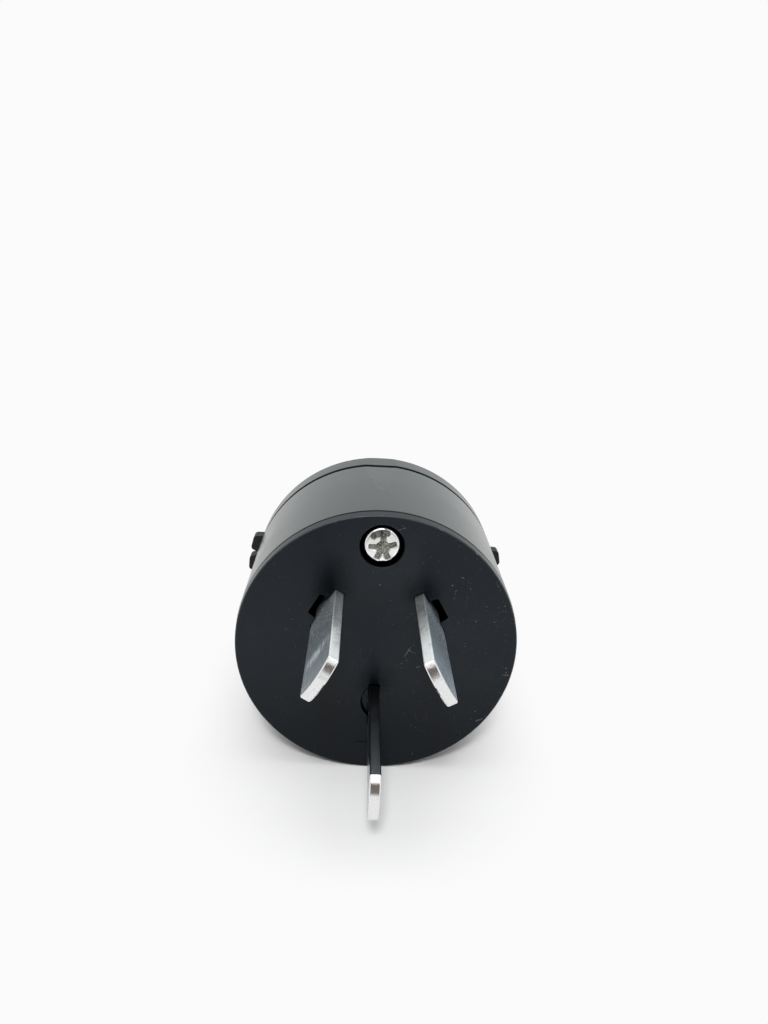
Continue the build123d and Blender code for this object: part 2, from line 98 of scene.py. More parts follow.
def make_camera():
    """The scene's camera, whose own axes are right, up and backward."""
    data = bpy.data.cameras.new("camera")
    data.sensor_width = SENSOR_HEIGHT
    data.lens = FOCAL_LENGTH / PICTURE_HEIGHT * SENSOR_HEIGHT
    data.clip_start = 1 * MM
    camera = add_object("camera", data)
    right, down, forward = camera_axes(CAMERA_PITCH, CAMERA_YAW, CAMERA_ROLL)
    turned = Matrix((right, -down, -forward)).transposed().to_4x4()
    camera.matrix_world = Matrix.Translation(CAMERA_PLACE) @ turned
    bpy.context.scene.camera = camera
    print("camera lens in mm:", round(data.lens, 2))


make_camera()

# %% [markdown]
# ## Building with nodes
# A finish is a small network of nodes. These helpers add one node at a time and link it, so that each
# finish further down reads as a list of steps instead of a page of links.

# %% Node helpers
def put(tree, kind, inputs=None, **settings):
    """Adds a node of one kind. Each named input takes a value, or a socket that is linked to it."""
    node = tree.nodes.new(kind)
    for name, value in settings.items():
        setattr(node, name, value)
    for name, value in (inputs or {}).items():
        if isinstance(value, bpy.types.NodeSocket):
            tree.links.new(value, node.inputs[name])
        else:
            node.inputs[name].default_value = value
    return node


def calculate(tree, operation, first, second=0.0, clamp=False):
    """One sum on two numbers."""
    return put(tree, "ShaderNodeMath", {0: first, 1: second}, operation=operation, use_clamp=clamp).outputs[0]


def times(tree, first, second):
    """The product of two numbers."""
    return calculate(tree, "MULTIPLY", first, second)


def combine(tree, operation, first, second=(0, 0, 0)):
    """One sum on two vectors, which gives a vector, or a number for a length or a dot product."""
    node = put(tree, "ShaderNodeVectorMath", {0: first, 1: second}, operation=operation)
    gives_number = operation in ("LENGTH", "DOT_PRODUCT", "DISTANCE")
    return node.outputs["Value" if gives_number else "Vector"]


def parts(tree, vector):
    """The X, Y and Z of a vector."""
    return put(tree, "ShaderNodeSeparateXYZ", {0: vector}).outputs


def scaled(tree, vector, factor):
    """A vector made longer or shorter by one factor."""
    return put(tree, "ShaderNodeVectorMath", {0: vector, "Scale": factor}, operation="SCALE").outputs[0]


def stretch(tree, vector, factors):
    """A vector with each of its parts multiplied by its own factor."""
    return combine(tree, "MULTIPLY", vector, factors)


def fade(tree, value, start, end, low=0.0, high=1.0):
    """A smooth change from low to high while the value goes from start to end."""
    inputs = {"Value": value, "From Min": start, "From Max": end, "To Min": low, "To Max": high}
    return put(tree, "ShaderNodeMapRange", inputs, interpolation_type="SMOOTHSTEP").outputs["Result"]


def blend_colours(tree, share, first, second):
    """The first colour where the share is 0 and the second where it is 1."""
    inputs = {0: share, 6: first, 7: second}
    return put(tree, "ShaderNodeMix", inputs, data_type="RGBA").outputs[2]


def blend_numbers(tree, share, first, second):
    """The first number where the share is 0 and the second where it is 1."""
    return put(tree, "ShaderNodeMix", {0: share, 2: first, 3: second}).outputs[0]


def noise(tree, vector, scale, detail=2.0, roughness=0.5):
    """Cloudy noise between 0 and 1, with its scale in cycles to a metre."""
    inputs = {"Vector": vector, "Scale": scale, "Detail": detail, "Roughness": roughness}
    return put(tree, "ShaderNodeTexNoise", inputs).outputs["Fac"]


def new_group(name, inputs, outputs):
    """An empty node group: its tree, its inputs by name, and the node that takes its outputs."""
    tree = bpy.data.node_groups.new(name, "ShaderNodeTree")
    for socket, kind in inputs.items():
        tree.interface.new_socket(socket, in_out="INPUT", socket_type=kind)
    for socket, kind in outputs.items():
        tree.interface.new_socket(socket, in_out="OUTPUT", socket_type=kind)
    start = tree.nodes.new("NodeGroupInput")
    end = tree.nodes.new("NodeGroupOutput")
    return tree, start.outputs, end


def bare_material(name):
    """A material, its node tree, and the tree's one node so far, which gives each point's place."""
    material = bpy.data.materials.new(name)
    material.use_nodes = True
    tree = material.node_tree
    tree.nodes.clear()
    return material, tree, put(tree, "ShaderNodeTexCoord").outputs["Object"]


def new_material(name, **plain):
    """A material with one Principled shader, with plain values set on its own sockets."""
    material, tree, place = bare_material(name)
    plain = {key.replace("_", " "): value for key, value in plain.items()}
    shader = put(tree, "ShaderNodeBsdfPrincipled", plain)
    put(tree, "ShaderNodeOutputMaterial", {"Surface": shader.outputs["BSDF"]})
    return material, tree, shader, place


VECTOR = "NodeSocketVector"
NUMBER = "NodeSocketFloat"

# %% [markdown]
# ## Effects that several finishes share
# Handling leaves the same few marks on every piece: thin scratches, specks of dust, cloudy patches and, on
# metal, streaks from rolling. Painting them by hand would need an image, so each one is a formula in a node
# group that any finish can use with its own values.

# %% Scratch group
def make_scratch_group():
    """A line between two points. Its mask is the distance to the nearest point of the line, faded out at
    the given width, after the place has been shaken a little by noise so that the line wavers."""
    inputs = {"Place": VECTOR, "Start": VECTOR, "End": VECTOR, "Width": NUMBER, "Waver": NUMBER}
    tree, given, end = new_group("scratch", inputs, {"Mask": NUMBER})
    shake = put(tree, "ShaderNodeTexNoise", {"Vector": given["Place"], "Scale": 900.0}).outputs["Color"]
    shake = combine(tree, "SUBTRACT", shake, (0.5, 0.5, 0.5))
    shake = scaled(tree, shake, given["Waver"])
    place = combine(tree, "ADD", given["Place"], shake)
    along = combine(tree, "SUBTRACT", given["End"], given["Start"])
    offset = combine(tree, "SUBTRACT", place, given["Start"])
    reach = combine(tree, "DOT_PRODUCT", offset, along)
    length = combine(tree, "DOT_PRODUCT", along, along)
    share = calculate(tree, "DIVIDE", reach, length, clamp=True)
    nearest = scaled(tree, along, share)
    distance = combine(tree, "DISTANCE", offset, nearest)
    mask = fade(tree, distance, 0.0, given["Width"], 1.0, 0.0)
    tree.links.new(mask, end.inputs["Mask"])
    return tree


scratch_group = make_scratch_group()
print("group:", scratch_group.name)

# %% Speck group
def make_speck_group():
    """Specks of dust. A flat place is cut into cells of one spacing, a share of the cells is chosen by the
    cell's own random colour, and each chosen cell has one round dot of a random size."""
    inputs = {"Place": VECTOR, "Spacing": NUMBER, "Share": NUMBER, "Size": NUMBER}
    tree, given, end = new_group("specks", inputs, {"Mask": NUMBER})
    scale = calculate(tree, "DIVIDE", 1.0, given["Spacing"])
    inputs = {"Vector": given["Place"], "Scale": scale}
    cells = put(tree, "ShaderNodeTexVoronoi", inputs, voronoi_dimensions="2D")
    colour = put(tree, "ShaderNodeSeparateColor", {"Color": cells.outputs["Color"]}).outputs
    chosen = calculate(tree, "LESS_THAN", colour["Red"], given["Share"])
    size = times(tree, given["Size"], calculate(tree, "ADD", colour["Green"], 0.35))
    dot = fade(tree, cells.outputs["Distance"], 0.0, size, 1.0, 0.0)
    tree.links.new(times(tree, dot, chosen), end.inputs["Mask"])
    return tree


speck_group = make_speck_group()
print("group:", speck_group.name)

# %% Patch group
def make_patch_group():
    """Cloudy patches between 0 and 1: broad noise with a finer noise on it, spread by the contrast."""
    inputs = {"Place": VECTOR, "Scale": NUMBER, "Contrast": NUMBER}
    tree, given, end = new_group("patches", inputs, {"Mask": NUMBER})
    broad = noise(tree, given["Place"], given["Scale"], 2.0)
    fine = noise(tree, given["Place"], times(tree, given["Scale"], 6.0), 3.0)
    fine = times(tree, fine, 0.3)
    both = calculate(tree, "ADD", times(tree, broad, 0.7), fine)
    spread = times(tree, calculate(tree, "SUBTRACT", both, 0.5), given["Contrast"])
    tree.links.new(calculate(tree, "ADD", spread, 0.5, clamp=True), end.inputs["Mask"])
    return tree


patch_group = make_patch_group()
print("group:", patch_group.name)


def scratch(tree, place, start, end, width, waver=0.0):
    """One scratch between two points, with its measures in mm."""
    inputs = {
        "Place": place,
        "Start": Vector(start) * MM,
        "End": Vector(end) * MM,
        "Width": width * MM,
        "Waver": waver * MM,
    }
    return put(tree, "ShaderNodeGroup", inputs, node_tree=scratch_group).outputs["Mask"]


def specks(tree, flat_place, spacing, share, size):
    """Dust with one speck at most in each cell of the spacing, in mm."""
    inputs = {"Place": flat_place, "Spacing": spacing * MM, "Share": share, "Size": size}
    return put(tree, "ShaderNodeGroup", inputs, node_tree=speck_group).outputs["Mask"]


def patches(tree, place, scale, contrast):
    """Cloudy patches with a scale in cycles to a metre."""
    inputs = {"Place": place, "Scale": scale, "Contrast": contrast}
    return put(tree, "ShaderNodeGroup", inputs, node_tree=patch_group).outputs["Mask"]


def strongest(tree, masks):
    """The largest of several masks at each point."""
    total = masks[0]
    for mask in masks[1:]:
        total = calculate(tree, "MAXIMUM", total, mask)
    return total


def scratches(tree, place, lines, waver=0.0):
    """All the scratches of a table, each with its start, end and width in mm."""
    return strongest(tree, [scratch(tree, place, *measures, waver) for measures in lines.values()])


def bump(tree, shader, height, distance):
    """Raises the surface by the height, up to a distance in mm."""
    normal = put(tree, "ShaderNodeBump", {"Height": height, "Distance": distance * MM})
    tree.links.new(normal.outputs["Normal"], shader.inputs["Normal"])


# %% [markdown]
# ## Floor, backdrop and light
# The plug lies on a plain white sheet that runs up into a white background. The sheet is a real surface near
# the plug, so it takes the soft shadow, and further out it turns into the plain white of the backdrop. The
# light comes from two wide soft panels, one overhead and one above the camera, from a small one beside the
# second, which gives the shadow its edge, and evenly from the whole room.

# %% Floor and light
BACKDROP = 0.965  # how white the background is
FLOOR_WHITE = 0.93
FLOOR_HALF_SIDE = 3.0  # metres
SHEET_NEAR = 12 * MM  # from under the plug to where the sheet starts to turn into the backdrop
SHEET_FAR = 30 * MM
ROOM_LIGHT = 0.3
ROOM_WHITE = (1, 1, 1, 1)
ROOM_COOL = (0.94, 0.99, 1, 1)  # the walls as glossy surfaces show them
# Each panel's place and its sides, in metres, and the share of a full white that it alone gives on the floor.
PANELS = {
    "overhead_panel": (Vector((0, -0.03, 0.6)), (1.0, 0.3), 0.35),
    "front_panel": (Vector((0, -0.45, 0.5)), (1.0, 0.4), 0.2),
    "key_panel": (Vector((-0.04, -0.46, 0.5)), (0.1, 0.1), 0.37),
}


def seen_directly(tree):
    """1 for what the camera sees, straight or in a mirror or through glass, and 0 for light on surfaces."""
    path = put(tree, "ShaderNodeLightPath").outputs
    mirrored = calculate(tree, "MAXIMUM", path["Is Glossy Ray"], path["Is Transmission Ray"])
    return calculate(tree, "MAXIMUM", path["Is Camera Ray"], mirrored)


def make_floor():
    """A flat white sheet under the plug, which is shaded near it and plain white further out. The distance
    is taken from the line on which the plug lies."""
    side = FLOOR_HALF_SIDE
    level = cad_low.z
    corners = [(-side, -side, level), (side, -side, level), (side, side, level), (-side, side, level)]
    mesh = bpy.data.meshes.new("floor")
    mesh.from_pydata(corners, [], [(0, 1, 2, 3)])
    floor = add_object("floor", mesh)
    material, tree, place = bare_material("white_sheet")
    x, y, _ = parts(tree, place)
    ahead = times(tree, y, -1.0)
    behind = calculate(tree, "SUBTRACT", y, cad_high.y)
    beyond = calculate(tree, "MAXIMUM", strongest(tree, [ahead, behind]), 0.0)
    outward = combine(tree, "LENGTH", put(tree, "ShaderNodeCombineXYZ", {0: x, 1: beyond}).outputs[0])
    far = times(tree, fade(tree, outward, SHEET_NEAR, SHEET_FAR), seen_directly(tree))
    sheet = put(tree, "ShaderNodeBsdfDiffuse", {"Color": (FLOOR_WHITE, FLOOR_WHITE, FLOOR_WHITE, 1)})
    plain = put(tree, "ShaderNodeEmission", {"Color": (BACKDROP, BACKDROP, BACKDROP, 1)})
    mixed = put(tree, "ShaderNodeMixShader", {0: far, 1: sheet.outputs[0], 2: plain.outputs[0]})
    put(tree, "ShaderNodeOutputMaterial", {"Surface": mixed.outputs[0]})
    mesh.materials.append(material)
    print("floor at z in mm:", round(level / MM, 3))


def make_room():
    """White all round: the backdrop where it is seen, and even light where it falls on surfaces."""
    world = bpy.data.worlds.new("white_room")
    bpy.context.scene.world = world
    world.use_nodes = True
    tree = world.node_tree
    tree.nodes.clear()
    lit = put(tree, "ShaderNodeBackground", {"Color": ROOM_WHITE, "Strength": ROOM_LIGHT})
    straight = put(tree, "ShaderNodeLightPath").outputs["Is Camera Ray"]
    walls = blend_colours(tree, straight, ROOM_COOL, ROOM_WHITE)
    seen = put(tree, "ShaderNodeBackground", {"Color": walls, "Strength": BACKDROP})
    mixed = put(tree, "ShaderNodeMixShader", {0: seen_directly(tree), 1: lit.outputs[0], 2: seen.outputs[0]})
    put(tree, "ShaderNodeOutputWorld", {"Surface": mixed.outputs[0]})


def make_panel(name, place, sides, share):
    """A soft panel that faces the plug. At a distance d and an angle a from upright, its power P gives the
    floor about P times cos a over (pi d) squared, as a share of a full white."""
    data = bpy.data.lights.new(name, "AREA")
    data.shape = "RECTANGLE"
    data.size, data.size_y = sides
    distance = place.length
    data.energy = share * (np.pi * distance) ** 2 * distance / place.z
    panel = add_object(name, data)
    panel.location = place
    panel.rotation_euler = (-place).to_track_quat("-Z", "Y").to_euler()
    print(name, "power in W:", round(data.energy, 2))


make_floor()
make_room()
for name, (place, sides, share) in PANELS.items():
    make_panel(name, place, sides, share)
bpy.context.scene.view_settings.view_transform = "Standard"

# %% [markdown]
# ## Cards
# Bright metal shows what stands in front of it. In a white room it would look like white plastic, so a
# photographer sets small dark cards in front of it. Here each pin has a card of its own, in the direction
# that its polished end mirrors, and the card shows there as a small brown patch. A white card above each
# dark one keeps the top of that pin's end bright. The cards can only be seen in reflections, so they neither
# hide the plug nor throw a shadow.

# %% Cards
CARD_COLOUR = (0.175, 0.15, 0.136, 1)
CARD_FOOT_COLOUR = (0.75, 0.74, 0.73, 1)
CARD_WHITE = (1.4, 1.4, 1.4, 1)  # brighter than the room
CARD_FOOT = 0.25  # share of a card's height over which it takes on its foot's colour
CARDS = {
    "left_pin_card": ((18.5, -85, 7), 23, 31),  # middle, width and height, mm
    "right_pin_card": ((-14.5, -85, 2), 27, 45),
    "low_pin_card": ((1.3, -40, -11.2), 5, 12),
}
WHITE_CARDS = {
    "white_left_card": ((18.5, -85, 40.5), 23, 36),
    "white_right_card": ((-14.5, -85, 42.5), 27, 36),
    "white_low_card": ((1.3, -28, -3), 7, 7.4),
}


def make_card(name, middle, width, height, colour, foot_colour):
    """A flat card that faces the plug, half its width and height to each side of its middle. It takes on
    another colour towards its foot."""
    x = width / 2 * MM
    z = height / 2 * MM
    mesh = bpy.data.meshes.new(name)
    mesh.from_pydata([(-x, 0, -z), (x, 0, -z), (x, 0, z), (-x, 0, z)], [], [(3, 2, 1, 0)])
    card = add_object(name, mesh)
    card.location = Vector(middle) * MM
    material, tree, place = bare_material(name)
    rise = parts(tree, place)["Z"]
    shown = blend_colours(tree, fade(tree, rise, -z, -z + CARD_FOOT * height * MM), foot_colour, colour)
    glow = put(tree, "ShaderNodeEmission", {"Color": shown})
    put(tree, "ShaderNodeOutputMaterial", {"Surface": glow.outputs[0]})
    mesh.materials.append(material)
    card.visible_camera = False
    card.visible_diffuse = False
    card.visible_shadow = False
    card.visible_transmission = False


for name, (middle, width, height) in CARDS.items():
    make_card(name, middle, width, height, CARD_COLOUR, CARD_FOOT_COLOUR)
for name, (middle, width, height) in WHITE_CARDS.items():
    make_card(name, middle, width, height, CARD_WHITE, CARD_WHITE)
print("dark cards:", len(CARDS), "white cards:", len(WHITE_CARDS))

# %% [markdown]
# ## Black mouldings
# The plate and the body are both black thermoset plastic, but the plate has a duller skin that hardly
# mirrors anything, while the body is satin and turns grey where it is looked at along its surface. That
# grey is not paint: it is the white room in the gloss, so it comes from the shader and not from a colour.

# %% Pin plate finish
BODY_DROP = 1.45  # mm: body axis below the centre of the pins
FACE_R = 19.2  # mm
PLATE_BLACK = (0.004, 0.0072, 0.0108, 1)
PLATE_BLACK_WORN = (0.007, 0.0105, 0.0142, 1)
PLATE_PAINTED_SHADE_LOW = (0.001, 0.0035, 0.0065, 1)
# the black of the painted shade and of the mould line
HOLE_BLACK = (0.0005, 0.0006, 0.0007, 1)
# a painted highlight along the plate's front edge
EDGE_PAINTED_HIGHLIGHT = (0.06, 0.065, 0.068, 1)
FACE_GLOSS = 0.21  # specular level: 0.5 is a common plastic
RIM_GLOSS = 0.285
LOW_SPAN = (-17 * MM, -3 * MM)  # heights between which painted shade darkens the face downwards
DUST = (0.16, 0.17, 0.175, 1)
FACE_SCRATCHES = {
    "hairline": ((11.7, 0, 9.0), (11.65, 0, 5.4), 0.06),  # start, end and width, mm
    "hook": ((10.0, 0, 6.2), (10.1, 0, 7.6), 0.06),
    "hook end": ((10.1, 0, 7.6), (10.6, 0, 8.0), 0.06),
    "fibre": ((2.7, 0, -4.3), (4.3, 0, -3.0), 0.08),
    "tuft": ((4.0, 0, -2.4), (4.7, 0, -1.1), 0.1),
    "tuft across": ((4.4, 0, -1.5), (5.4, 0, -1.9), 0.09),
    "tuft end": ((4.7, 0, -1.1), (5.5, 0, -0.5), 0.09),
    "tick by the pin": ((5.7, 0, -4.05), (6.8, 0, -4.0), 0.1),
    "tick foot": ((5.7, 0, -4.05), (6.0, 0, -4.7), 0.08),
    "nick at the top right": ((15.4, 0, 9.1), (16.0, 0, 8.1), 0.12),
    "nick at the right": ((17.7, 0, -4.8), (18.5, 0, -4.8), 0.1),
    "nick below it": ((17.9, 0, -5.4), (18.1, 0, -4.3), 0.08),
    "nick low at the right": ((14.7, 0, -12.4), (15.6, 0, -11.9), 0.14),
    "rubbed edge": ((12.8, 0, -16.5), (15.1, 0, -13.6), 0.14),
    "curl": ((-12.5, 0, 1.1), (-11.7, 0, 0.8), 0.08),
    "scuff by the screw": ((1.9, 0, 15.8), (2.9, 0, 16.2), 0.1),
}
# The two lines by the right pin are painted shade in the gap at its root; the mould line is a dark mark of
# the moulding.
SHADE_AND_MOULD_LINES = {
    "beside the right pin's top": ((5.95, 0, 7.1), (6.6, 0, 6.0), 0.3),
    "above the right pin": ((4.8, 0, 6.6), (5.7, 0, 7.15), 0.2),
    "mould line": ((-2.2, 0, -16.5), (-0.7, 0, -16.45), 0.13),
}
EJECTOR_RING = ((1.9, 0, -4.7), 0.62)  # middle and radius, mm
POCKET_LINE = ((1.393, 0, -9.81), 3.093)  # a painted shadow line on the round back of the pocket beside the low pin, mm
POCKET_MIDDLE = (-1.0, 0, -9.8)
POCKET_R = 2.3  # mm
POCKET_FLOOR = 0.7  # mm: depth of the pocket's shallow floor
HOLES_R = 17.8  # mm: all the holes lie nearer to the body's axis than this
DUST_CLUSTERS = {
    "lower right": (7.4, -13.2, 2.4, 0.6),  # x, z and radius, mm, and the extra share of cells with a speck
    "top right": (7.2, 16.1, 1.5, 0.6),
    "right edge": (17.4, 4.0, 3.0, 0.5),
}


def dust_share(tree, flat_place):
    """How many cells hold a speck: few at the left, more to the right, and most in the clusters."""
    share = fade(tree, parts(tree, flat_place)["X"], -5 * MM, 18 * MM, 0.02, 0.1)
    for x, z, radius, more in DUST_CLUSTERS.values():
        distance = combine(tree, "DISTANCE", flat_place, Vector((x, z, 0)) * MM)
        extra = fade(tree, distance, 0.3 * radius * MM, radius * MM, more, 0.0)
        share = calculate(tree, "ADD", share, extra)
    return share


def along_face(tree, place, middle):
    """Distance along the face from a point of it, which is given in mm."""
    return combine(tree, "DISTANCE", stretch(tree, place, (1, 0, 1)), Vector(middle) * MM)


def ring(tree, place, middle, radius, width):
    """A thin ring on the face: points whose distance from its middle, along the face, is the radius."""
    distance = along_face(tree, place, middle)
    off = calculate(tree, "ABSOLUTE", calculate(tree, "SUBTRACT", distance, radius * MM))
    return fade(tree, off, 0.0, width * MM, 1.0, 0.0)


def from_axis(tree, place):
    """Distance of a point from the body's axis."""
    across = combine(tree, "ADD", stretch(tree, place, (1, 0, 1)), (0, 0, BODY_DROP * MM))
    return combine(tree, "LENGTH", across)


def front_edge(tree, place):
    """The front edge of the plate: near the face's radius and near the face itself."""
    depth = parts(tree, place)["Y"]
    at_edge = fade(tree, from_axis(tree, place), (FACE_R - 0.22) * MM, (FACE_R - 0.06) * MM)
    at_front = fade(tree, depth, 0.08 * MM, 0.26 * MM, 1.0, 0.0)
    return times(tree, at_edge, at_front)


def edge_nicks(tree, place):
    """Pale nicks on the front edge, where noise is high, with more of them towards the right."""
    chips = fade(tree, noise(tree, place, 750.0, 3.0), 0.58, 0.66)
    right = parts(tree, place)["X"]
    side = fade(tree, right, -2 * MM, 12 * MM, 0.2, 1.0)
    return times(tree, chips, side)


def in_holes(tree, place):
    """Painted shade: 1 inside the notches, slots and the screw's hole, which lie behind the face and inside
    its rim, and a painted shadow line on the round back of the pocket beside the low pin, but not on the
    pocket's shallow floor."""
    x, depth, _ = parts(tree, place)
    to_pocket = along_face(tree, place, POCKET_MIDDLE)
    floor = fade(tree, to_pocket, POCKET_R * MM, (POCKET_R + 0.3) * MM, POCKET_FLOOR * MM, 0.0)
    behind = fade(tree, calculate(tree, "SUBTRACT", depth, floor), 0.04 * MM, 0.2 * MM)
    inside = fade(tree, from_axis(tree, place), HOLES_R * MM, (HOLES_R + 0.6) * MM, 1.0, 0.0)
    hole = times(tree, behind, inside)
    left = fade(tree, x, -0.75 * MM, -0.6 * MM, 1.0, 0.0)
    line = times(tree, ring(tree, place, *POCKET_LINE, 0.2), left)
    return strongest(tree, [hole, line])


# Painted shade on the face above each pin's root.
ROOT_PAINTED_SHADES = {
    "left pin": (-6.2, 6.9, 7.0, 0.68),  # x and z of the pin's top, rise of the painted shade, mm, and strength
    "right pin": (5.6, 6.9, 4.0, 0.6),
    "low pin": (0.0, -7.2, 4.0, 0.5),
}


def root_painted_shade(tree, x, z, root_x, root_z, rise, strength):
    """Painted shade above the root of a pin: strongest at the root, and fading out upwards and to both sides.
    """
    aside = calculate(tree, "ABSOLUTE", calculate(tree, "SUBTRACT", x, root_x * MM))
    near = fade(tree, aside, 0.0, 3.5 * MM, strength, 0.0)
    above = fade(tree, z, root_z * MM, (root_z + rise) * MM, 1.0, 0.0)
    below = fade(tree, z, (root_z - 2.0) * MM, root_z * MM)
    return times(tree, near, times(tree, above, below))


def make_plate_finish(name, gloss):
    """The dull black of the pin plate, with its dust, scratches, nicks and fine moulded grain. Painted shade
    darkens the holes, the pocket's outline, the gap by the right pin, the face above each pin's root and the
    lower face; a metal with no colour mirrors nothing, so the plate is metallic and black there, as it is on
    the mould line."""
    material, tree, shader, place = new_material(name, Specular_IOR_Level=gloss)
    cloud = patches(tree, place, 140.0, 2.2)
    colour = blend_colours(tree, cloud, PLATE_BLACK, PLATE_BLACK_WORN)
    x, _, z = parts(tree, place)
    # painted shade: the face turns darker downwards
    colour = blend_colours(tree, fade(tree, z, *LOW_SPAN, 0.85, 0.0), colour, PLATE_PAINTED_SHADE_LOW)
    edge = front_edge(tree, place)
    # painted highlight along the front edge
    colour = blend_colours(tree, times(tree, edge, 0.5), colour, EDGE_PAINTED_HIGHLIGHT)
    flat_place = put(tree, "ShaderNodeCombineXYZ", {0: x, 1: z}).outputs[0]
    share = dust_share(tree, flat_place)
    coarse = specks(tree, flat_place, 1.2, times(tree, share, 0.45), 0.085)
    fine = specks(tree, flat_place, 0.5, share, 0.16)
    dust = strongest(tree, [coarse, times(tree, fine, 0.45)])
    lines = times(tree, scratches(tree, place, FACE_SCRATCHES, 0.45), 0.7)
    lines = times(tree, lines, fade(tree, noise(tree, place, 2600.0), 0.35, 0.6))
    nicks = times(tree, times(tree, edge, edge_nicks(tree, place)), 0.7)
    pale = strongest(tree, [times(tree, dust, 0.9), lines, nicks])
    colour = blend_colours(tree, pale, colour, DUST)
    holes = in_holes(tree, place)
    # painted shade above the root of each pin
    grime_and_shade = [root_painted_shade(tree, x, z, *measures) for measures in ROOT_PAINTED_SHADES.values()]
    # more painted shade towards the bottom of the face
    low_painted_shade = fade(tree, z, *LOW_SPAN, 0.15, 0.0)
    painted_shade_and_marks = strongest(tree, [holes, low_painted_shade, scratches(tree, place, SHADE_AND_MOULD_LINES)] + grime_and_shade)
    # painted shade, and the mould line, turn the plate black and metallic
    tree.links.new(blend_colours(tree, painted_shade_and_marks, colour, HOLE_BLACK), shader.inputs["Base Color"])
    tree.links.new(painted_shade_and_marks, shader.inputs["Metallic"])
    skin = fade(tree, cloud, 0.0, 1.0, 0.22, 0.28)
    tree.links.new(calculate(tree, "MAXIMUM", skin, holes), shader.inputs["Roughness"])
    grain = noise(tree, place, 5200.0, 3.0, 0.6)
    dent = times(tree, ring(tree, place, *EJECTOR_RING, 0.14), 1.5)
    bump(tree, shader, calculate(tree, "SUBTRACT", grain, dent), 0.01)
    return material


face_finish = make_plate_finish("plate_moulding", FACE_GLOSS)
rim_finish = make_plate_finish("rim_moulding", RIM_GLOSS)
print("finishes:", face_finish.name, rim_finish.name, "scratches:", len(FACE_SCRATCHES))

# %% Body finish
BODY_BLACK = (0.011, 0.0145, 0.0158, 1)
BODY_BLACK_WORN = (0.017, 0.0205, 0.0218, 1)
LUG_BLACK = (0.006, 0.0078, 0.0095, 1)
BODY_GLOSS = 0.52
CAP_GLOSS = 0.28
BODY_SCRATCHES = {
    "hair": ((-1.6, 15.4, 17.95), (-0.2, 12.8, 18.02), 0.11),
    "hair end": ((-0.2, 12.8, 18.02), (1.3, 11.7, 17.98), 0.11),
    "faint stroke": ((-5.7, 5.7, 17.16), (-3.4, 4.3, 17.73), 0.12),
}


def make_body_finish(name, gloss):
    """The satin black of the body, with a very fine grain, a few hairlines and little dust."""
    material, tree, shader, place = new_material(name, Specular_IOR_Level=gloss)
    cloud = patches(tree, place, 110.0, 2.0)
    colour = blend_colours(tree, cloud, BODY_BLACK, BODY_BLACK_WORN)
    x, depth, z = parts(tree, place)
    turn = calculate(tree, "ARCTAN2", x, calculate(tree, "ADD", z, BODY_DROP * MM))
    around = times(tree, turn, FACE_R * MM)
    unrolled = put(tree, "ShaderNodeCombineXYZ", {0: around, 1: depth}).outputs[0]
    dust = times(tree, specks(tree, unrolled, 1.6, 0.05, 0.09), 0.6)
    tree.links.new(blend_colours(tree, dust, colour, DUST), shader.inputs["Base Color"])
    hairs = scratches(tree, place, BODY_SCRATCHES, 0.5)
    satin = fade(tree, cloud, 0.0, 1.0, 0.19, 0.25)
    tree.links.new(calculate(tree, "ADD", satin, times(tree, hairs, 0.3)), shader.inputs["Roughness"])
    grain = noise(tree, place, 4200.0, 3.0, 0.6)
    bump(tree, shader, calculate(tree, "SUBTRACT", grain, times(tree, hairs, 2.0)), 0.006)
    return material


def make_lug_finish():
    """The duller black of the grip lugs, which fingers have rubbed."""
    plain = {"Base_Color": LUG_BLACK, "Specular_IOR_Level": 0.25}
    material, tree, shader, place = new_material("lug_moulding", **plain)
    cloud = patches(tree, place, 300.0, 2.0)
    tree.links.new(fade(tree, cloud, 0.0, 1.0, 0.38, 0.5), shader.inputs["Roughness"])
    bump(tree, shader, noise(tree, place, 4200.0, 3.0, 0.6), 0.006)
    return material


body_finish = make_body_finish("body_moulding", BODY_GLOSS)
cap_finish = make_body_finish("cap_moulding", CAP_GLOSS)
lug_finish = make_lug_finish()
print("finishes:", body_finish.name, cap_finish.name, lug_finish.name)

# %% [markdown]
# ## Bright metal
# The pins are brass strip, plated with nickel. Rolling and plating leave them bright but not mirror-like:
# fine streaks run along each pin, with cloudy dull patches and small dark pits. The screws have the same
# plating on steel, and grime in their recesses.

# %% Blade finishes
PIN_CIRCLE_R = 7.92  # mm
PIN_LEAN = np.radians(30)
EARTH_DROP = 10.31  # mm
BLADE_HALF_WIDTH = 3.175  # mm
BLADE_HALF_THICKNESS = 0.675  # mm
TIP_ARCH = 0.9  # mm
POWER_REACH = 18.0  # mm
EARTH_REACH = 20.0  # mm
TIP_ROUGHNESS = 0.11
BEVEL_ROUGHNESS = 0.55
NICKEL = (0.84, 0.845, 0.84, 1)
NICKEL_GRAIN = (1, 1, 1, 1)
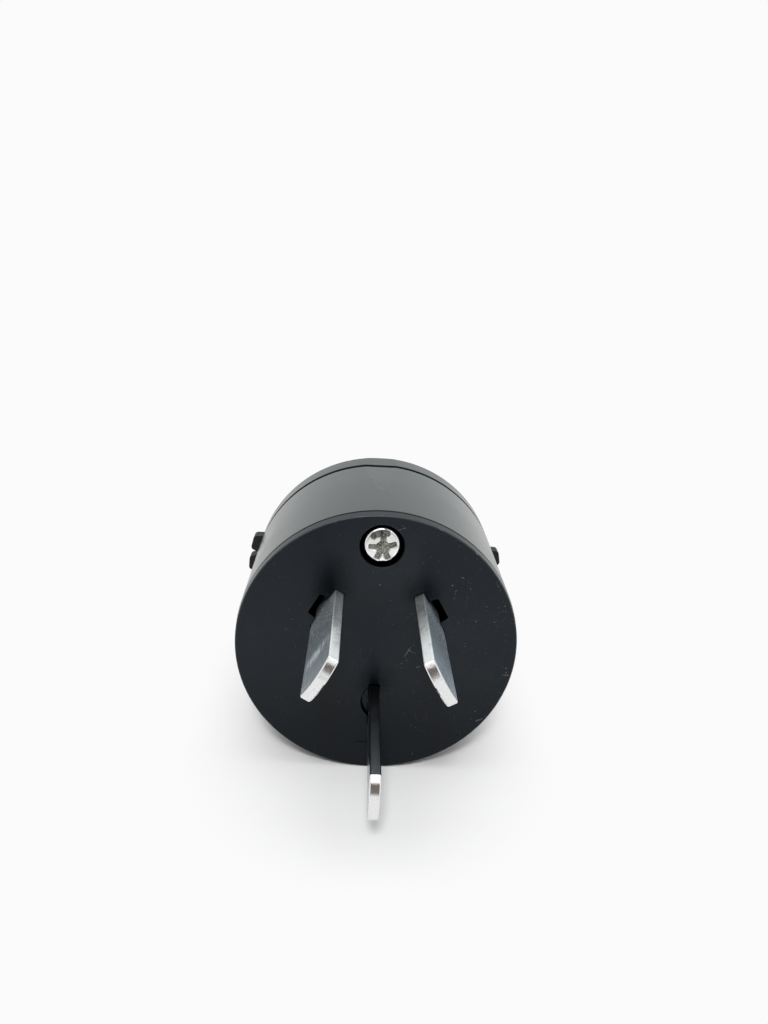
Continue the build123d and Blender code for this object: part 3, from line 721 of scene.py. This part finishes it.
# Each pin's flats and narrow edges are painted with their own light and shade, the low pin's much darker.
FLAT_FADE = 0.28  # share of a blade's reach over which its flat changes colour
LEFT_FLAT = ((0.68, 0.75, 0.8, 1), (0.376, 0.433, 0.465, 1))  # painted shade: at the face and further out, darker outwards
RIGHT_FLAT = ((0.63, 0.745, 0.84, 1), (0.375, 0.45, 0.51, 1))
LOW_FLAT = ((0.3, 0.32, 0.34, 1), (0.16, 0.18, 0.2, 1))
LEFT_EDGE = ((1, 1, 1, 1), (0.93, 0.94, 0.94, 1))  # painted light: at the face and at the end, each pin's edges at their own level
RIGHT_EDGE = ((0.86, 0.88, 0.89, 1), (0.95, 0.96, 0.96, 1))
LOW_EDGE = ((0.045, 0.052, 0.06, 1), (0.42, 0.45, 0.48, 1))
FLAT_SCUFFS = {
    "smear": ((-8.0, -11.7, 3.2), (-6.7, -11.9, 5.6), 2.2),
    "speck by the tip": ((-8.2, -14.0, 3.0), (-8.2, -14.2, 2.9), 0.25),
    "second speck": ((-8.5, -14.3, 2.5), (-8.5, -14.6, 2.4), 0.25),
    "right stroke": ((6.4, -1.2, 6.1), (7.6, -1.6, 4.0), 0.16),
    "right cross stroke": ((6.9, -3.6, 5.2), (7.4, -1.0, 4.4), 0.16),
    "right long stroke": ((7.6, -3.0, 4.6), (7.0, -8.8, 5.0), 0.14),
}


def blade_measures(tree, place, middle, up, reach):
    """Masks for the narrow edges, the bevels beside them and the arched end of a blade. They come from how
    far a point lies along the width and the thickness, as shares of half of each, and from how near it is to
    the end, where the reach less the arch times the first share squared is the end's own line."""
    offset = combine(tree, "SUBTRACT", place, Vector(middle) * MM)
    width = combine(tree, "DOT_PRODUCT", offset, up)
    share = calculate(tree, "DIVIDE", calculate(tree, "ABSOLUTE", width), BLADE_HALF_WIDTH * MM)
    depth = parts(tree, place)["Y"]
    arch = times(tree, times(tree, share, share), TIP_ARCH * MM)
    nearness = calculate(tree, "SUBTRACT", arch, depth)
    tip = fade(tree, nearness, (reach - 0.22) * MM, (reach - 0.1) * MM)
    edge = fade(tree, share, 0.955, 0.98)
    outward = Vector(up).cross(Vector((0, 1, 0)))
    thickness = calculate(tree, "ABSOLUTE", combine(tree, "DOT_PRODUCT", offset, outward))
    side = fade(tree, calculate(tree, "DIVIDE", thickness, BLADE_HALF_THICKNESS * MM), 0.8, 0.84)
    bevel = times(tree, side, fade(tree, share, 0.952, 0.96))
    return edge, bevel, tip


def average(tree, first, second):
    """The mean of two values."""
    return times(tree, calculate(tree, "ADD", first, second), 0.5)


def darken(tree, colour, shade):
    """A colour made darker where the shade is under 1."""
    return blend_colours(tree, shade, (0, 0, 0, 1), colour)


def make_blade_finish(name, middle, up, reach, flat_shaded_colours, edge_shaded_colours, edge_roughness, flat_roughness,
                      grain_share, bevel_wear):
    """Nickel plate: satin sides with streaks, mottling and bright grains that thin out towards the end, and
    painted shade that darkens the sides outwards, the narrow edges in painted light of each pin's own level,
    worn bevels, and a polished end that the sockets have rubbed."""
    material, tree, shader, place = new_material(name, Metallic=1.0)
    edge, bevel, tip = blade_measures(tree, place, middle, up, reach)
    depth = parts(tree, place)["Y"]
    outward = fade(tree, depth, 0.0, -reach * MM)
    streaks = noise(tree, stretch(tree, place, (1.0, 0.08, 1.0)), 2600.0, 3.0, 0.65)
    grit = noise(tree, place, 5000.0, 4.0, 0.75)
    cloud = patches(tree, stretch(tree, place, (1.0, 0.5, 1.0)), 420.0, 3.4)
    worn = average(tree, streaks, cloud)
    grains = fade(tree, noise(tree, stretch(tree, place, (1.0, 0.45, 1.0)), 4600.0, 2.0, 0.8), 0.5, 0.64)
    by_the_root = fade(tree, outward, 0.05, 0.6, grain_share, 0.2 * grain_share)
    grains = times(tree, grains, by_the_root)
    scuffs = scratches(tree, place, FLAT_SCUFFS, 0.9)
    scuffs = times(tree, scuffs, fade(tree, streaks, 0.42, 0.6))
    bright = strongest(tree, [grains, times(tree, scuffs, 0.3)])
    pits = fade(tree, grit, 0.3, 0.7, 0.7, 1.0)
    shade = times(tree, fade(tree, worn, 0.3, 0.7, 0.62, 1.0), pits)
    # painted shade: the flat darkens from the face outwards
    flat = darken(tree, blend_colours(tree, fade(tree, outward, 0.0, FLAT_FADE), *flat_shaded_colours), shade)
    flat = blend_colours(tree, bright, flat, NICKEL_GRAIN)
    narrow_shade = fade(tree, average(tree, cloud, grit), 0.35, 0.55, 0.72, 1.0)
    narrow_shade = calculate(tree, "MAXIMUM", narrow_shade, fade(tree, outward, 0.5, 1.0))
    # painted light and shade of this pin's narrow edges
    narrow = darken(tree, blend_colours(tree, outward, *edge_shaded_colours), narrow_shade)
    polished = darken(tree, NICKEL, fade(tree, grit, 0.3, 0.6, 0.86, 1.0))
    rubbed = times(tree, bevel, fade(tree, grit, *bevel_wear, 0.0, 0.6))
    colour = blend_colours(tree, edge, flat, narrow)
    colour = blend_colours(tree, rubbed, colour, NICKEL)
    tree.links.new(blend_colours(tree, tip, colour, polished), shader.inputs["Base Color"])
    side_rough = calculate(tree, "ADD", fade(tree, worn, 0.3, 0.7, 0.05, -0.05), flat_roughness)
    side_rough = calculate(tree, "ADD", side_rough, times(tree, scuffs, 0.2))
    narrow_rough = fade(tree, outward, 0.2, 1.0, *edge_roughness)
    rough = blend_numbers(tree, edge, side_rough, narrow_rough)
    rough = blend_numbers(tree, rubbed, rough, BEVEL_ROUGHNESS)
    rough = blend_numbers(tree, tip, rough, TIP_ROUGHNESS)
    tree.links.new(rough, shader.inputs["Roughness"])
    ripple = blend_numbers(tree, strongest(tree, [edge, tip]), streaks, grit)
    bump(tree, shader, ripple, 0.008)
    return material


left_middle = (-PIN_CIRCLE_R * np.cos(PIN_LEAN), 0, PIN_CIRCLE_R * np.sin(PIN_LEAN))
right_middle = (PIN_CIRCLE_R * np.cos(PIN_LEAN), 0, PIN_CIRCLE_R * np.sin(PIN_LEAN))
left_up = (np.sin(PIN_LEAN), 0, np.cos(PIN_LEAN))
right_up = (-np.sin(PIN_LEAN), 0, np.cos(PIN_LEAN))
low_middle = (0, 0, -EARTH_DROP)
low_up = (0, 0, 1)
POWER_FINISH = {
    "reach": POWER_REACH,
    "edge_roughness": (0.4, 0.58),
    "flat_roughness": 0.48,
    "grain_share": 0.75,
    "bevel_wear": (0.4, 0.55),
}
LOW_FINISH = {
    "reach": EARTH_REACH,
    "flat_shaded_colours": LOW_FLAT,
    "edge_shaded_colours": LOW_EDGE,
    "edge_roughness": (0.1, 0.14),
    "flat_roughness": 0.2,
    "grain_share": 0.25,
    "bevel_wear": (0.62, 0.7),
}
left_blade = make_blade_finish("left_blade", left_middle, left_up, flat_shaded_colours=LEFT_FLAT,
                               edge_shaded_colours=LEFT_EDGE, **POWER_FINISH)
right_blade = make_blade_finish("right_blade", right_middle, right_up, flat_shaded_colours=RIGHT_FLAT,
                                edge_shaded_colours=RIGHT_EDGE, **POWER_FINISH)
earth_blade = make_blade_finish("low_blade", low_middle, low_up, **LOW_FINISH)
print("finishes:", left_blade.name, right_blade.name, earth_blade.name)

# %% Screw, brass and inner finishes
SCREW_NICKEL = (0.78, 0.78, 0.76, 1)
SCREW_GRIME = (0.016, 0.019, 0.014, 1)
SCREW_GRIME_PALE = (0.19, 0.205, 0.16, 1)
SCREW_PAINTED_REFLECTION = (0.04, 0.03, 0.027, 1)
PAINTED_REFLECTION_PLACE = ((-1.1, 0.45, 14.85), (0.55, 0.45, 15.35), 0.7)  # a painted dark reflection on the front screw's head, mm
BRASS = (0.75, 0.54, 0.24, 1)
BRASS_DULL = (0.5, 0.34, 0.14, 1)
CREAM = (0.72, 0.69, 0.6, 1)
CREAM_SHADE = (0.6, 0.57, 0.48, 1)


def make_screw_finish():
    """Nickel plate whose recess is full of dull grime, speckled but for its dark outline. The screw's own
    attribute marks the recess. A painted dark reflection lies at the top of the front screw's head."""
    material, tree, shader, place = new_material("nickel_screw", Specular_IOR_Level=0.12)
    grime_and_shade = put(tree, "ShaderNodeAttribute", attribute_name="recess").outputs["Fac"]
    cloud = patches(tree, place, 900.0, 3.0)
    dirt = times(tree, grime_and_shade, fade(tree, cloud, 0.2, 0.75, 1.0, 0.85))
    # a painted dark reflection, broken by streaks, at the top of the front screw's head
    painted_reflection = fade(tree, scratch(tree, place, *PAINTED_REFLECTION_PLACE, 0.7), 0.0, 0.4)
    runs = noise(tree, stretch(tree, place, (1.0, 1.0, 0.3)), 3200.0, 2.0)
    painted_reflection = times(tree, painted_reflection, fade(tree, runs, 0.4, 0.56, 1.0, 0.82))
    colour = blend_colours(tree, painted_reflection, SCREW_NICKEL, SCREW_PAINTED_REFLECTION)
    speckle = fade(tree, noise(tree, place, 4000.0, 2.0, 0.6), 0.46, 0.57)
    speckle = times(tree, speckle, fade(tree, grime_and_shade, 0.8, 1.0))
    grime_colour = blend_colours(tree, speckle, SCREW_GRIME, SCREW_GRIME_PALE)
    tree.links.new(blend_colours(tree, dirt, colour, grime_colour), shader.inputs["Base Color"])
    tree.links.new(calculate(tree, "SUBTRACT", 1.0, dirt), shader.inputs["Metallic"])
    rough = fade(tree, cloud, 0.0, 1.0, 0.14, 0.26)
    rough = calculate(tree, "ADD", rough, times(tree, dirt, 0.5))
    tree.links.new(rough, shader.inputs["Roughness"])
    bump(tree, shader, noise(tree, place, 3500.0, 3.0), 0.006)
    return material


def make_brass_finish():
    """Machined brass, duller in cloudy patches."""
    material, tree, shader, place = new_material("machined_brass", Metallic=1.0)
    cloud = patches(tree, place, 350.0, 2.5)
    tree.links.new(blend_colours(tree, cloud, BRASS_DULL, BRASS), shader.inputs["Base Color"])
    tree.links.new(fade(tree, cloud, 0.0, 1.0, 0.42, 0.26), shader.inputs["Roughness"])
    bump(tree, shader, noise(tree, stretch(tree, place, (1.0, 0.1, 1.0)), 5000.0), 0.005)
    return material


def make_inner_finish():
    """The undyed plastic of the pieces inside the plug."""
    material, tree, shader, place = new_material("undyed_moulding", Specular_IOR_Level=0.4)
    cloud = patches(tree, place, 160.0, 2.0)
    tree.links.new(blend_colours(tree, cloud, CREAM_SHADE, CREAM), shader.inputs["Base Color"])
    tree.links.new(fade(tree, cloud, 0.0, 1.0, 0.45, 0.58), shader.inputs["Roughness"])
    bump(tree, shader, noise(tree, place, 4000.0, 3.0), 0.01)
    return material


screw_finish = make_screw_finish()
brass_finish = make_brass_finish()
inner_finish = make_inner_finish()
print("finishes:", screw_finish.name, brass_finish.name, inner_finish.name)

# %% Finishes on the CAD pieces
FINISHES = {
    "pin_plate": face_finish,
    "body_shell": body_finish,
    "rear_cap": cap_finish,
    "active_blade": right_blade,
    "neutral_blade": left_blade,
    "earth_blade": earth_blade,
    "blade_retainer": inner_finish,
    "cord_clamp_bar": inner_finish,
    "active_terminal": brass_finish,
    "neutral_terminal": brass_finish,
    "earth_terminal": brass_finish,
}
for name, finish in FINISHES.items():
    nodes[name].data.materials.clear()
    nodes[name].data.materials.append(finish)
print("CAD pieces with a finish:", len(FINISHES))

# %% Finishes on parts of a CAD piece
BARREL_R = 19.62  # mm: what stands further out than this is a lug
RIM_INSIDE_R = 18.95  # mm: the rim of the plate lies further out than this
RIM_FRONT = 0.12  # mm: and further back than this


def dress_faces(name, finish, chosen):
    """Gives some faces of a CAD piece another finish, chosen by radius from the axis and by depth."""
    mesh = nodes[name].data
    mesh.materials.append(finish)
    centres = np.empty(3 * len(mesh.polygons))
    mesh.polygons.foreach_get("center", centres)
    x, depth, z = centres.reshape(-1, 3).T / MM
    mask = chosen(np.hypot(x, z + BODY_DROP), depth)
    mesh.polygons.foreach_set("material_index", mask.astype(np.int32))
    print(name, "faces with", finish.name + ":", mask.sum())


dress_faces("rear_cap", lug_finish, lambda radius, depth: radius > BARREL_R)
dress_faces("pin_plate", rim_finish, lambda radius, depth: (radius > RIM_INSIDE_R) & (depth > RIM_FRONT))

# %% [markdown]
# ## Screws
# A CAD screw is a plain cylinder with a head. A real one has a thread, and a recess with sloping walls that
# catches the light. Both are easy to write as a formula on a grid: one direction of the grid runs down the
# screw from the middle of its head to its tip, and the other runs round it. The thread lowers the radius
# along a helix, and the recess pushes the top of the head down.

# %% Screw surfaces
STAR_TURNS = np.radians((0, 73, 153, 207, 271))  # worn arms, clockwise from the top
STAR_REACH = 1.95 * MM
STAR_WIDTH = 0.68 * MM
STAR_PIT_R = 1.05 * MM
STAR_MIDDLE = (0.12 * MM, -0.32 * MM)  # to the right of the head's middle, and up from it
CROSS_TURNS = np.radians((0, 90, 180, 270))
CROSS_REACH = 1.3 * MM
CROSS_WIDTH = 0.8 * MM
CROSS_PIT_R = 0.8 * MM
SLOT_WIDTH = 0.8 * MM
RECESS_DEPTH = 0.9 * MM
PIT_SLOPE = 0.6  # share of a pit's radius over which it deepens
ARM_WALL = 0.62  # start of an arm's side wall and how far it slopes, as shares of the width
WALL_SLOPE = 0.24
ARM_END = 1.04  # start of its end wall and how far that slopes, as shares of the reach
END_SLOPE = 0.24
ARM_RISE = 0.55  # share of its depth that an arm loses towards its end
SLOT_WALL = 0.6  # the same for the wall of a slot
SLOT_SLOPE = 0.15
GRIME_DEPTH = 0.3 * MM  # grime fills the star up to this depth, and covers what lies deeper
HEAD_DOME = 0.5 * MM
TIP_CHAMFER = 0.3 * MM
THREAD_PITCH = 0.9 * MM
THREAD_DEPTH = 0.2 * MM
HEAD_ROWS = 48  # rows of the grid on the flat of a head
DOME_ROWS = 9  # on the dome at its edge
PITCH_ROWS = 12  # on one turn of the thread
FIRST_ROW = 0.02  # radius of the first row, as a share of the flat's
LAST_ROW = 0.05  # radius of the last row, as a share of the shank's
SHARP_ANGLE = np.radians(50)


def ease(value):
    """0 below 0, 1 above 1, and three squares less two cubes in between."""
    inside = np.clip(value, 0, 1)
    return inside * inside * (3 - 2 * inside)


def arms_depth(x, z, turns, reach, width, pit_r):
    """Depth of a recess with arms: the deepest of a cone in the middle and of troughs that run outwards from
    it, each turned from the top by its own angle. A trough has steep sides and rises to its end."""
    depth = ease((pit_r - np.hypot(x, z)) / (PIT_SLOPE * pit_r))
    for turn in turns:
        along = x * np.sin(turn) + z * np.cos(turn)
        aside = x * np.cos(turn) - z * np.sin(turn)
        walls = ease((ARM_WALL * width - np.abs(aside)) / (WALL_SLOPE * width))
        ends = ease((ARM_END * reach - along) / (END_SLOPE * reach)) * (along > 0)
        depth = np.maximum(depth, walls * ends * (1 - ARM_RISE * along / reach))
    return RECESS_DEPTH * depth


def star_depth(x, z):
    """Depth of the star recess in the front screw, as far down as the grime that fills it."""
    middle_x, middle_z = STAR_MIDDLE
    depth = arms_depth(x - middle_x, z - middle_z, STAR_TURNS, STAR_REACH, STAR_WIDTH, STAR_PIT_R)
    return np.minimum(depth, GRIME_DEPTH)


def cross_depth(x, z):
    """Depth of the cross recess in the hidden screws."""
    return arms_depth(x, z, CROSS_TURNS, CROSS_REACH, CROSS_WIDTH, CROSS_PIT_R)


def slot_depth(x, z):
    """Depth of a straight slot right across the head."""
    return RECESS_DEPTH * ease((SLOT_WALL * SLOT_WIDTH - np.abs(z)) / (SLOT_SLOPE * SLOT_WIDTH))


def screw_profile(head_r, head_height, shank_r, length):
    """The outline of a plain screw as (radius, depth) rows from near the head's middle to near the tip's."""
    flat = head_r - HEAD_DOME
    top = np.linspace(FIRST_ROW, 1, HEAD_ROWS)
    turn = np.linspace(0, np.pi / 2, DOME_ROWS + 1)[1:]
    thread_rows = int(length / THREAD_PITCH * PITCH_ROWS)
    shank = np.linspace(0, length - TIP_CHAMFER, thread_rows)
    radius = np.concatenate([flat * top, flat + HEAD_DOME * np.sin(turn), [head_r, shank_r + THREAD_DEPTH],
                             np.full(thread_rows, shank_r), [shank_r - TIP_CHAMFER, LAST_ROW * shank_r]])
    depth = np.concatenate([np.full(HEAD_ROWS, -head_height), HEAD_DOME * (1 - np.cos(turn)) - head_height,
                            [0, 0], shank, [length, length]])
    threaded = np.concatenate([np.zeros(HEAD_ROWS + DOME_ROWS + 2), np.ones(thread_rows), np.zeros(2)])
    return radius, depth, threaded


def screw_points(head_r, head_height, shank_r, length, recess, columns):
    """Grid of points with depth along Y, and a mark: 0 outside the recess, 1 at the grime's depth."""
    profile = screw_profile(head_r, head_height, shank_r, length)
    radius, depth, threaded = (values[:, None] for values in profile)
    angle = np.linspace(0, 2 * np.pi, columns, endpoint=False)[None, :]
    phase = (depth / THREAD_PITCH - angle / (2 * np.pi)) % 1
    ridge = np.abs(2 * phase - 1)
    fade_in = ease(depth / THREAD_PITCH) * threaded
    around = radius - THREAD_DEPTH * (1 - ridge) * fade_in
    x = around * np.cos(angle)
    z = around * np.sin(angle)
    lowered = np.where(depth < 0, recess(x, z), 0)
    y = np.maximum(depth, lowered - head_height)
    return np.stack([x, y, z], axis=2), ease(lowered / GRIME_DEPTH)


def closed_faces(rows, columns):
    """Quads between neighbouring rows, wrapped round the columns, and fans to a point at each end."""
    row, column = np.meshgrid(np.arange(rows - 1), np.arange(columns), indexing="ij")
    after = (column + 1) % columns
    quads = np.stack([row * columns + column, row * columns + after,
                      (row + 1) * columns + after, (row + 1) * columns + column], axis=2).reshape(-1, 4)
    rim = np.arange(columns)
    following = (rim + 1) % columns
    last = (rows - 1) * columns
    start_pole = rows * columns
    start_fan = np.stack([np.full(columns, start_pole), following, rim], axis=1)
    end_fan = np.stack([np.full(columns, start_pole + 1), last + rim, last + following], axis=1)
    return quads.tolist() + start_fan.tolist() + end_fan.tolist()


def make_screw(node, toward_tip, head_height, shank_r, recess, columns):
    """A threaded screw in the place of a CAD one, whose box gives its middle, its length and its head."""
    low, high = (np.array(corner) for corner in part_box(node))
    axis = np.array(toward_tip, float)
    along = np.abs(axis)
    overall = ((high - low) * along).sum()
    head_r = ((high - low) * (1 - along)).max() / 2
    points, grime_and_shade = screw_points(head_r, head_height, shank_r, overall - head_height, recess, columns)
    rows = len(points)
    poles = np.stack([points[0].mean(0), points[-1].mean(0)])
    local = np.concatenate([points.reshape(-1, 3), poles])
    marks = np.concatenate([grime_and_shade.ravel(), [grime_and_shade[0].mean(), 0]])
    across = np.array([1.0, 0, 0])
    turn = np.stack([across, axis, np.cross(across, axis)])
    seat = (low + high) / 2 - axis * (overall / 2 - head_height)
    mesh = bpy.data.meshes.new("threaded_" + node)
    mesh.from_pydata((local @ turn + seat).tolist(), [], closed_faces(rows, columns))
    mesh.attributes.new("recess", "FLOAT", "POINT").data.foreach_set("value", marks.astype(np.float32))
    mesh.polygons.foreach_set("use_smooth", np.ones(len(mesh.polygons), bool))
    mesh.set_sharp_from_angle(angle=SHARP_ANGLE)
    piece = add_object("threaded_" + node, mesh)
    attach(piece, "root")
    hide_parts(node)
    return piece


BACKWARD = (0, 1, 0)
FORWARD = (0, -1, 0)
DOWN = (0, 0, -1)
# Each kind of screw: direction, head height and shank radius in mm, recess, grid columns, finish and slot.
FRONT_KIND = (BACKWARD, 1.3, 1.25, star_depth, 144, screw_finish, "plated_screw")
RETAINER_KIND = (FORWARD, 1.4, 1.1, cross_depth, 72, screw_finish, "plated_screw")
CLAMP_KIND = (DOWN, 1.8, 1.45, cross_depth, 72, screw_finish, "plated_screw")
TERMINAL_KIND = (FORWARD, 1.4, 1.5, slot_depth, 72, brass_finish, "terminal_brass")
SCREWS = {
    "assembly_screw": FRONT_KIND,
    "retainer_screw_left": RETAINER_KIND,
    "retainer_screw_right": RETAINER_KIND,
    "cord_clamp_screw_left": CLAMP_KIND,
    "cord_clamp_screw_right": CLAMP_KIND,
    "active_terminal_screw": TERMINAL_KIND,
    "neutral_terminal_screw": TERMINAL_KIND,
    "earth_terminal_screw": TERMINAL_KIND,
}
for name, (toward_tip, head_height, shank_r, recess, columns, finish, slot) in SCREWS.items():
    piece = make_screw(name, toward_tip, head_height * MM, shank_r * MM, recess, columns)
    piece.data.materials.append(finish)
    print(piece.name, "faces:", len(piece.data.polygons))
